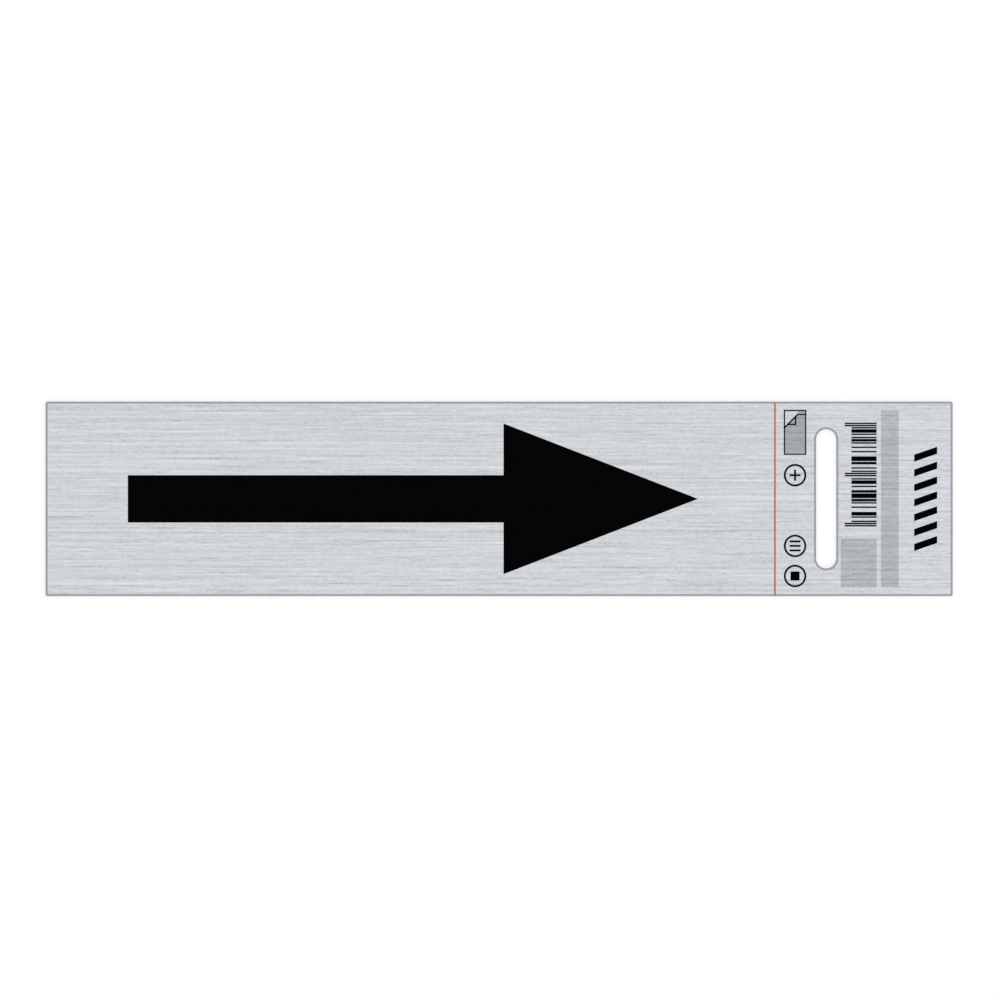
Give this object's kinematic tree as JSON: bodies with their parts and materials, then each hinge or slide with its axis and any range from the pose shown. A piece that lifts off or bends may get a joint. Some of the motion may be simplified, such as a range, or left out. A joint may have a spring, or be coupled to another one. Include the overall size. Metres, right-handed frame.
{
  "type": "arrow sign",
  "caption": "Long flat self-adhesive sign with a black arrow on a brushed metal-look film, on a release liner with a slotted hanging tab.",
  "frame": {"origin": "centre of the outline on the liner's underside, on which the sign lies", "axes": "+X along the strip, the way the arrow points; +Y up across the strip; +Z out of the printed face"},
  "size_m": [0.2052, 0.044, 0.0005],
  "materials": {
    "liner_paper": "smooth coated paper",
    "brushed_film": "satin film with a fine brushed grain along the strip",
    "black_ink": "satin black print",
    "red_ink": "thin red print",
    "line_ink": "thin violet-grey print",
    "grey_ink": "flat grey print"
  },
  "bodies": {
    "root": {"release_liner": "liner_paper", "sign_face": "brushed_film", "hang_tab": "brushed_film", "arrow_print": "black_ink", "cut_line": "red_ink", "edge_line": "line_ink", "grey_print": "grey_ink", "black_print": "black_ink"}
  },
  "joints": []
}
